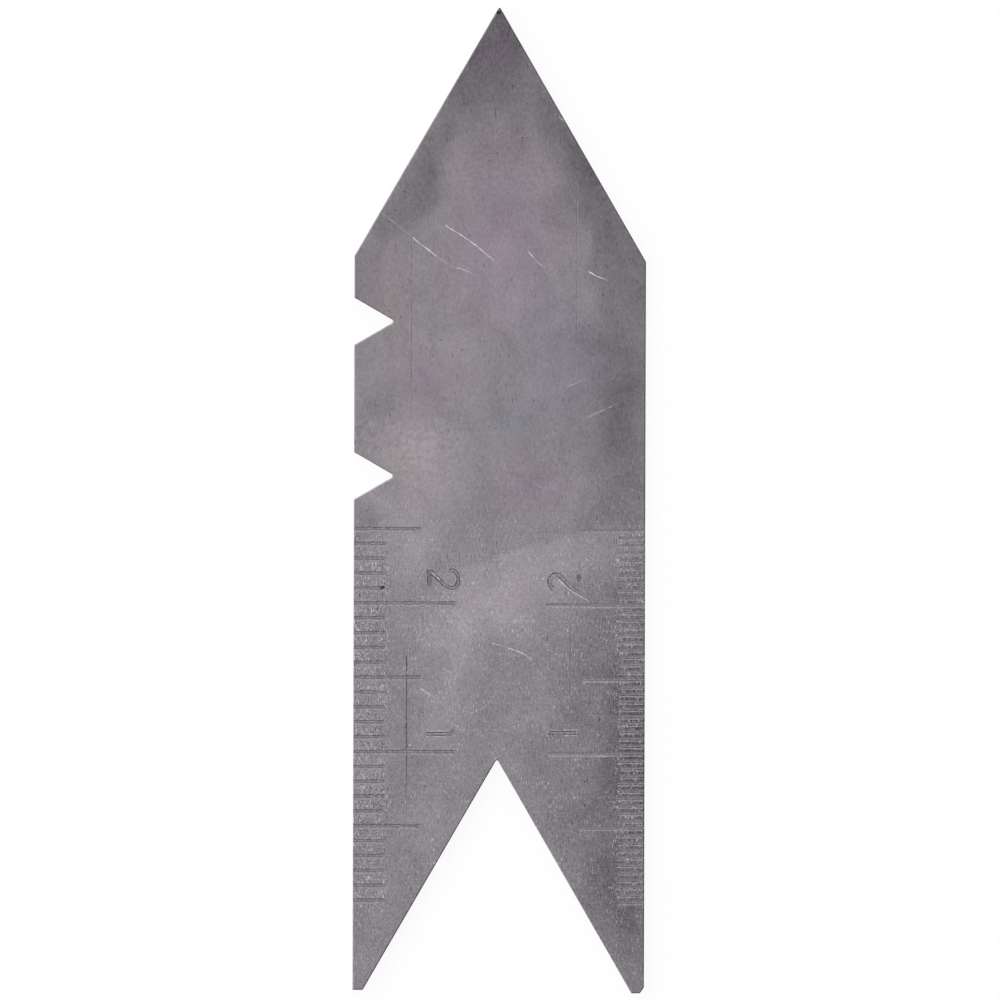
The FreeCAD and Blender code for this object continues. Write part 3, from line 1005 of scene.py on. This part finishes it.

# %% [markdown]
# Each line is a few points, in millimetres across and along the plate, and lines of one kind share
# a section and a steel. No stroke of a group touches another of its group, so that each group is a
# sound cutter by itself. The lips of the longest marks and of the 1s stand highest, and their steel
# is painted lighter as a highlight.

# %% Numbers and long lips
STAMPED = {"Floor": 0.18, "Mouth": 0.3, "Depth": 0.032, "Rise": 0.012, "Run Out": 0.04, "Fade": 0.3}
STAMPED_LIP = {**LIP, "Floor": 0.52, "Mouth": 0.44, "Wander": 0.0}
LONG_LIP = {**LIP, "Floor": 0.22, "Mouth": 0.1, "Run Out": 0.6, "Fade": 0.6}
NUMBERS = (
    ("left_2", stamped_steel, lip_steel, (
        ((-4.7, -4.8), (-4.12, -5.33), (-3.51, -5.84), (-3.17, -5.94), (-2.84, -5.73),
         (-2.76, -5.3), (-2.91, -4.93), (-3.21, -4.76), (-3.41, -4.84)),
    )),
    ("right_2", shallow_steel, lip_steel, (
        ((5.32, -6.28), (4.76, -5.81), (4.22, -5.24), (3.85, -5.01), (3.54, -5.14),
         (3.37, -5.45), (3.45, -5.78), (3.72, -6.05)),
    )),
    ("stems", stamped_steel, burr_highlight_steel, (
        ((-4.86, -15.76), (-3.08, -15.76)),
        ((5.3, -15.66), (3.38, -15.66)),
    )),
    ("flags", stamped_steel, burr_highlight_steel, (
        ((-3.06, -15.78), (-3.16, -15.42)),
        ((3.36, -15.64), (3.65, -16.04)),
    )),
)
LONG_LIPS = (
    ((3.3, -17.25), (7.9, -17.25)),
    ((5.6, -12.25), (8.0, -12.25)),
    ((3.5, -7.25), (7.9, -7.25)),
    ((-5.9, -17.14), (-2.95, -17.14)),
)

lips.append(pressed_lines("long_lips", LONG_LIPS, LONG_LIP, long_lip_highlight_steel))
for name, sunk, raised, strokes in NUMBERS:
    lips.append(pressed_lines(f"{name}_lips", strokes, STAMPED_LIP, raised))
    cutters.append(pressed_lines(name, strokes, STAMPED, sunk))

# %% [markdown]
# Marks of use are lines of the same kind, only narrower and shallower. A line scribed along the
# plate holds grime, and others like it are mostly rubbed away. A fresh scratch shines, and an old
# or light one has dulled.

# %% Scribed lines and scratches
SCRIBER = {"Floor": 0.02, "Mouth": 0.1, "Depth": 0.02, "Run Out": 3.0, "Wander": 0.02, "Fade": 0.7}
FAINTLY = {**SCRIBER, "Depth": 0.012, "Fade": 0.95}
SCRATCH = {"Floor": 0.03, "Mouth": 0.09, "Depth": 0.006, "Run Out": 1.2, "Wander": 0.1, "Fade": 0.7}
DULL_SCRATCH = {**SCRATCH, "Mouth": 0.08, "Fade": 0.9}
SCRIBED = (
    ((-6.22, -10.54), (-6.22, -20.43)),
)
FAINT = (
    ((-5.95, 18.72), (-5.95, 5.3)),
    ((-5.95, 0.6), (-5.95, -0.4)),
    ((5.15, 21.61), (5.15, 10.31)),
    ((4.81, -7.98), (4.81, -20.76)),
    ((-3.72, 13.2), (-3.72, 11.2)),
)
SCRATCHES = (
    ((-5.9, 17.6), (-4.6, 16.6), (-3.56, 15.85)),
    ((-2.9, 15.6), (-2.02, 15.29)),
    ((-3.7, 18.45), (-2.02, 17.37), (-0.4, 16.05)),
    ((1.9, 16.7), (2.4, 16.1), (2.89, 15.7)),
    ((2.9, 15.7), (3.1, 15.66)),
    ((5.9, 15.35), (6.6, 15.0), (7.2, 14.78)),
    ((-5.31, -12.69), (-4.3, -13.37)),
    ((-0.47, -9.67), (0.4, -9.87)),
    ((-3.83, -11.35), (-3.16, -11.68)),
    ((3.9, 25.75), (4.3, 25.45)),
)
DULL_SCRATCHES = (
    ((-8.0, 19.26), (-7.0, 18.5), (-5.9, 17.6)),
    ((-3.5, 15.8), (-2.9, 15.6)),
    ((-2.02, 15.29), (-1.35, 14.85)),
    ((-0.3, 15.95), (0.34, 15.2)),
    ((0.81, 16.36), (1.14, 15.89)),
    ((5.2, 15.6), (5.9, 15.35)),
    ((4.51, 7.62), (5.2, 7.9), (5.86, 8.2)),
    ((5.9, 5.6), (6.7, 5.95), (8.0, 6.5)),
    ((-3.5, 4.92), (-2.8, 4.92)),
    ((-3.8, 2.45), (-3.26, 2.15)),
    ((2.3, 1.2), (3.45, 0.35)),
    ((8.8, 0.75), (9.65, 0.42)),
    ((-2.35, -14.51), (-0.61, -13.7), (-0.27, -13.3)),
    ((-7.06, -13.23), (-6.39, -13.84)),
    ((4.1, 25.35), (4.35, 25.25)),
)

cutters += [
    pressed_lines("scribed_lines", SCRIBED, SCRIBER, grimy_steel),
    pressed_lines("faint_lines", FAINT, FAINTLY, faint_steel),
    pressed_lines("scratches", SCRATCHES, SCRATCH, bright_steel),
    pressed_lines("dull_scratches", DULL_SCRATCHES, DULL_SCRATCH, dull_steel),
]

# %% [markdown]
# The foot of each 2 was struck deepest, and its darker steel is painted shade in the trough; one
# foot has a thin end. A painted highlight runs as a bright slot along the slant of each 2, and
# another bright line goes on from a scratch. Pits and specks are full of dirt.

# %% Feet, painted highlights and pits
FOOT = {**STAMPED, "Floor": 0.24, "Mouth": 0.32, "Depth": 0.04, "Run Out": 0.1}
INSTEP = {"Floor": 0.05, "Mouth": 0.13, "Depth": 0.018, "Rise": 0.012, "Run Out": 0.3, "Fade": 0.6}
BRIGHT_SLOT = {"Floor": 0.07, "Mouth": 0.08, "Depth": 0.037, "Rise": 0.012, "Run Out": 0.8, "Fade": 0.5}
PIT = {"Floor": 0.12, "Mouth": 0.23, "Depth": 0.03, "Run Out": 0.08}
SPECKLE = {**PIT, "Floor": 0.05, "Mouth": 0.11, "Depth": 0.02, "Run Out": 0.05}
# The feet are cut in darker steel: painted shade in their troughs.
FEET = (
    ((-4.72, -4.72), (-4.72, -5.8)),
    ((5.36, -5.02), (5.36, -5.5)),
)
THIN_FOOT = (
    ((5.33, -5.4), (5.3, -6.1)),
)
# Bright slots: painted highlights along the slant of each 2, and a bright line that goes on from a
# scratch.
HIGHLIGHTS_AND_SCRATCH = (
    ((3.98, -5.37), (4.82, -6.1), (5.66, -6.6), (6.11, -6.84)),
    ((-4.5, -4.93), (-3.9, -5.46), (-3.3, -5.86)),
    ((0.5, -9.93), (1.5, -10.3), (2.25, -10.72)),
)
PITS = (
    ((-8.02, -5.97), (-7.9, -5.95), (-7.68, -5.92)),
    ((-0.28, 32.79), (-0.12, 32.75), (0.03, 32.78)),
)
SPECKLES = (
    ((1.0, 11.86), (1.06, 11.84)),
    ((-2.6, 10.04), (-2.48, 10.06)),
    ((-4.4, 6.21), (-4.35, 6.21)),
    ((-3.56, 14.98), (-3.56, 14.9)),
    ((0.0, 30.32), (0.0, 30.27)),
    ((-1.28, 27.15), (-1.28, 27.1)),
    ((-2.33, 23.29), (-2.22, 23.3)),
    ((-0.78, 22.78), (-0.7, 22.86)),
    ((-6.5, 20.7), (-6.3, 20.62)),
    ((-6.38, 20.35), (-6.36, 20.2)),
    ((-7.15, 19.5), (-7.0, 19.4)),
    ((-1.2, 25.3), (-1.15, 25.28)),
    ((-5.14, -14.55), (-5.08, -14.6)),
    ((3.2, 18.6), (3.24, 18.6)),
)

cutters += [
    pressed_lines("feet", FEET, FOOT, shaded_trough_steel),
    pressed_lines("thin_foot", THIN_FOOT, INSTEP, shallow_steel),
    pressed_lines("highlights_and_scratch", HIGHLIGHTS_AND_SCRATCH, BRIGHT_SLOT, bright_steel),
    pressed_lines("pits", PITS, PIT, pit_steel),
    pressed_lines("speckles", SPECKLES, SPECKLE, grimy_steel),
]

# %% [markdown]
# Joining the lips to the plate and cutting the grooves are boolean steps, one for each kind of
# mark. The manifold solver is quick and leaves the plate closed, if each tool is closed and free
# of crossings itself. It carries each cutter's steel on to the walls that it leaves.

# %% Join and cut
def combine(target, tools, operation):
    """Join tools to a target, or cut them out of it."""
    for tool in tools:
        step = target.modifiers.new(tool.name, "BOOLEAN")
        step.operation = operation
        step.object = tool
        step.solver = "MANIFOLD"
        step.use_self = True
        step.material_mode = "TRANSFER"
    mesh = finished(target)
    target.modifiers.clear()
    mesh.shade_flat()
    target.data = mesh
    for tool in tools:
        bpy.data.objects.remove(tool)


describe(plate.data)
combine(plate, lips, "UNION")
describe(plate.data)
combine(plate, cutters, "DIFFERENCE")
describe(plate.data)

# %% [markdown]
# The mesh is shrunk to metres. Then it takes the place of the imported model's plate and goes with
# its one body.

# %% Put the plate in place of the imported one
plate.data.transform(Matrix.Scale(MM, 4))
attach(plate, "root")
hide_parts("gauge_plate")
print("handed in:", plate.name)
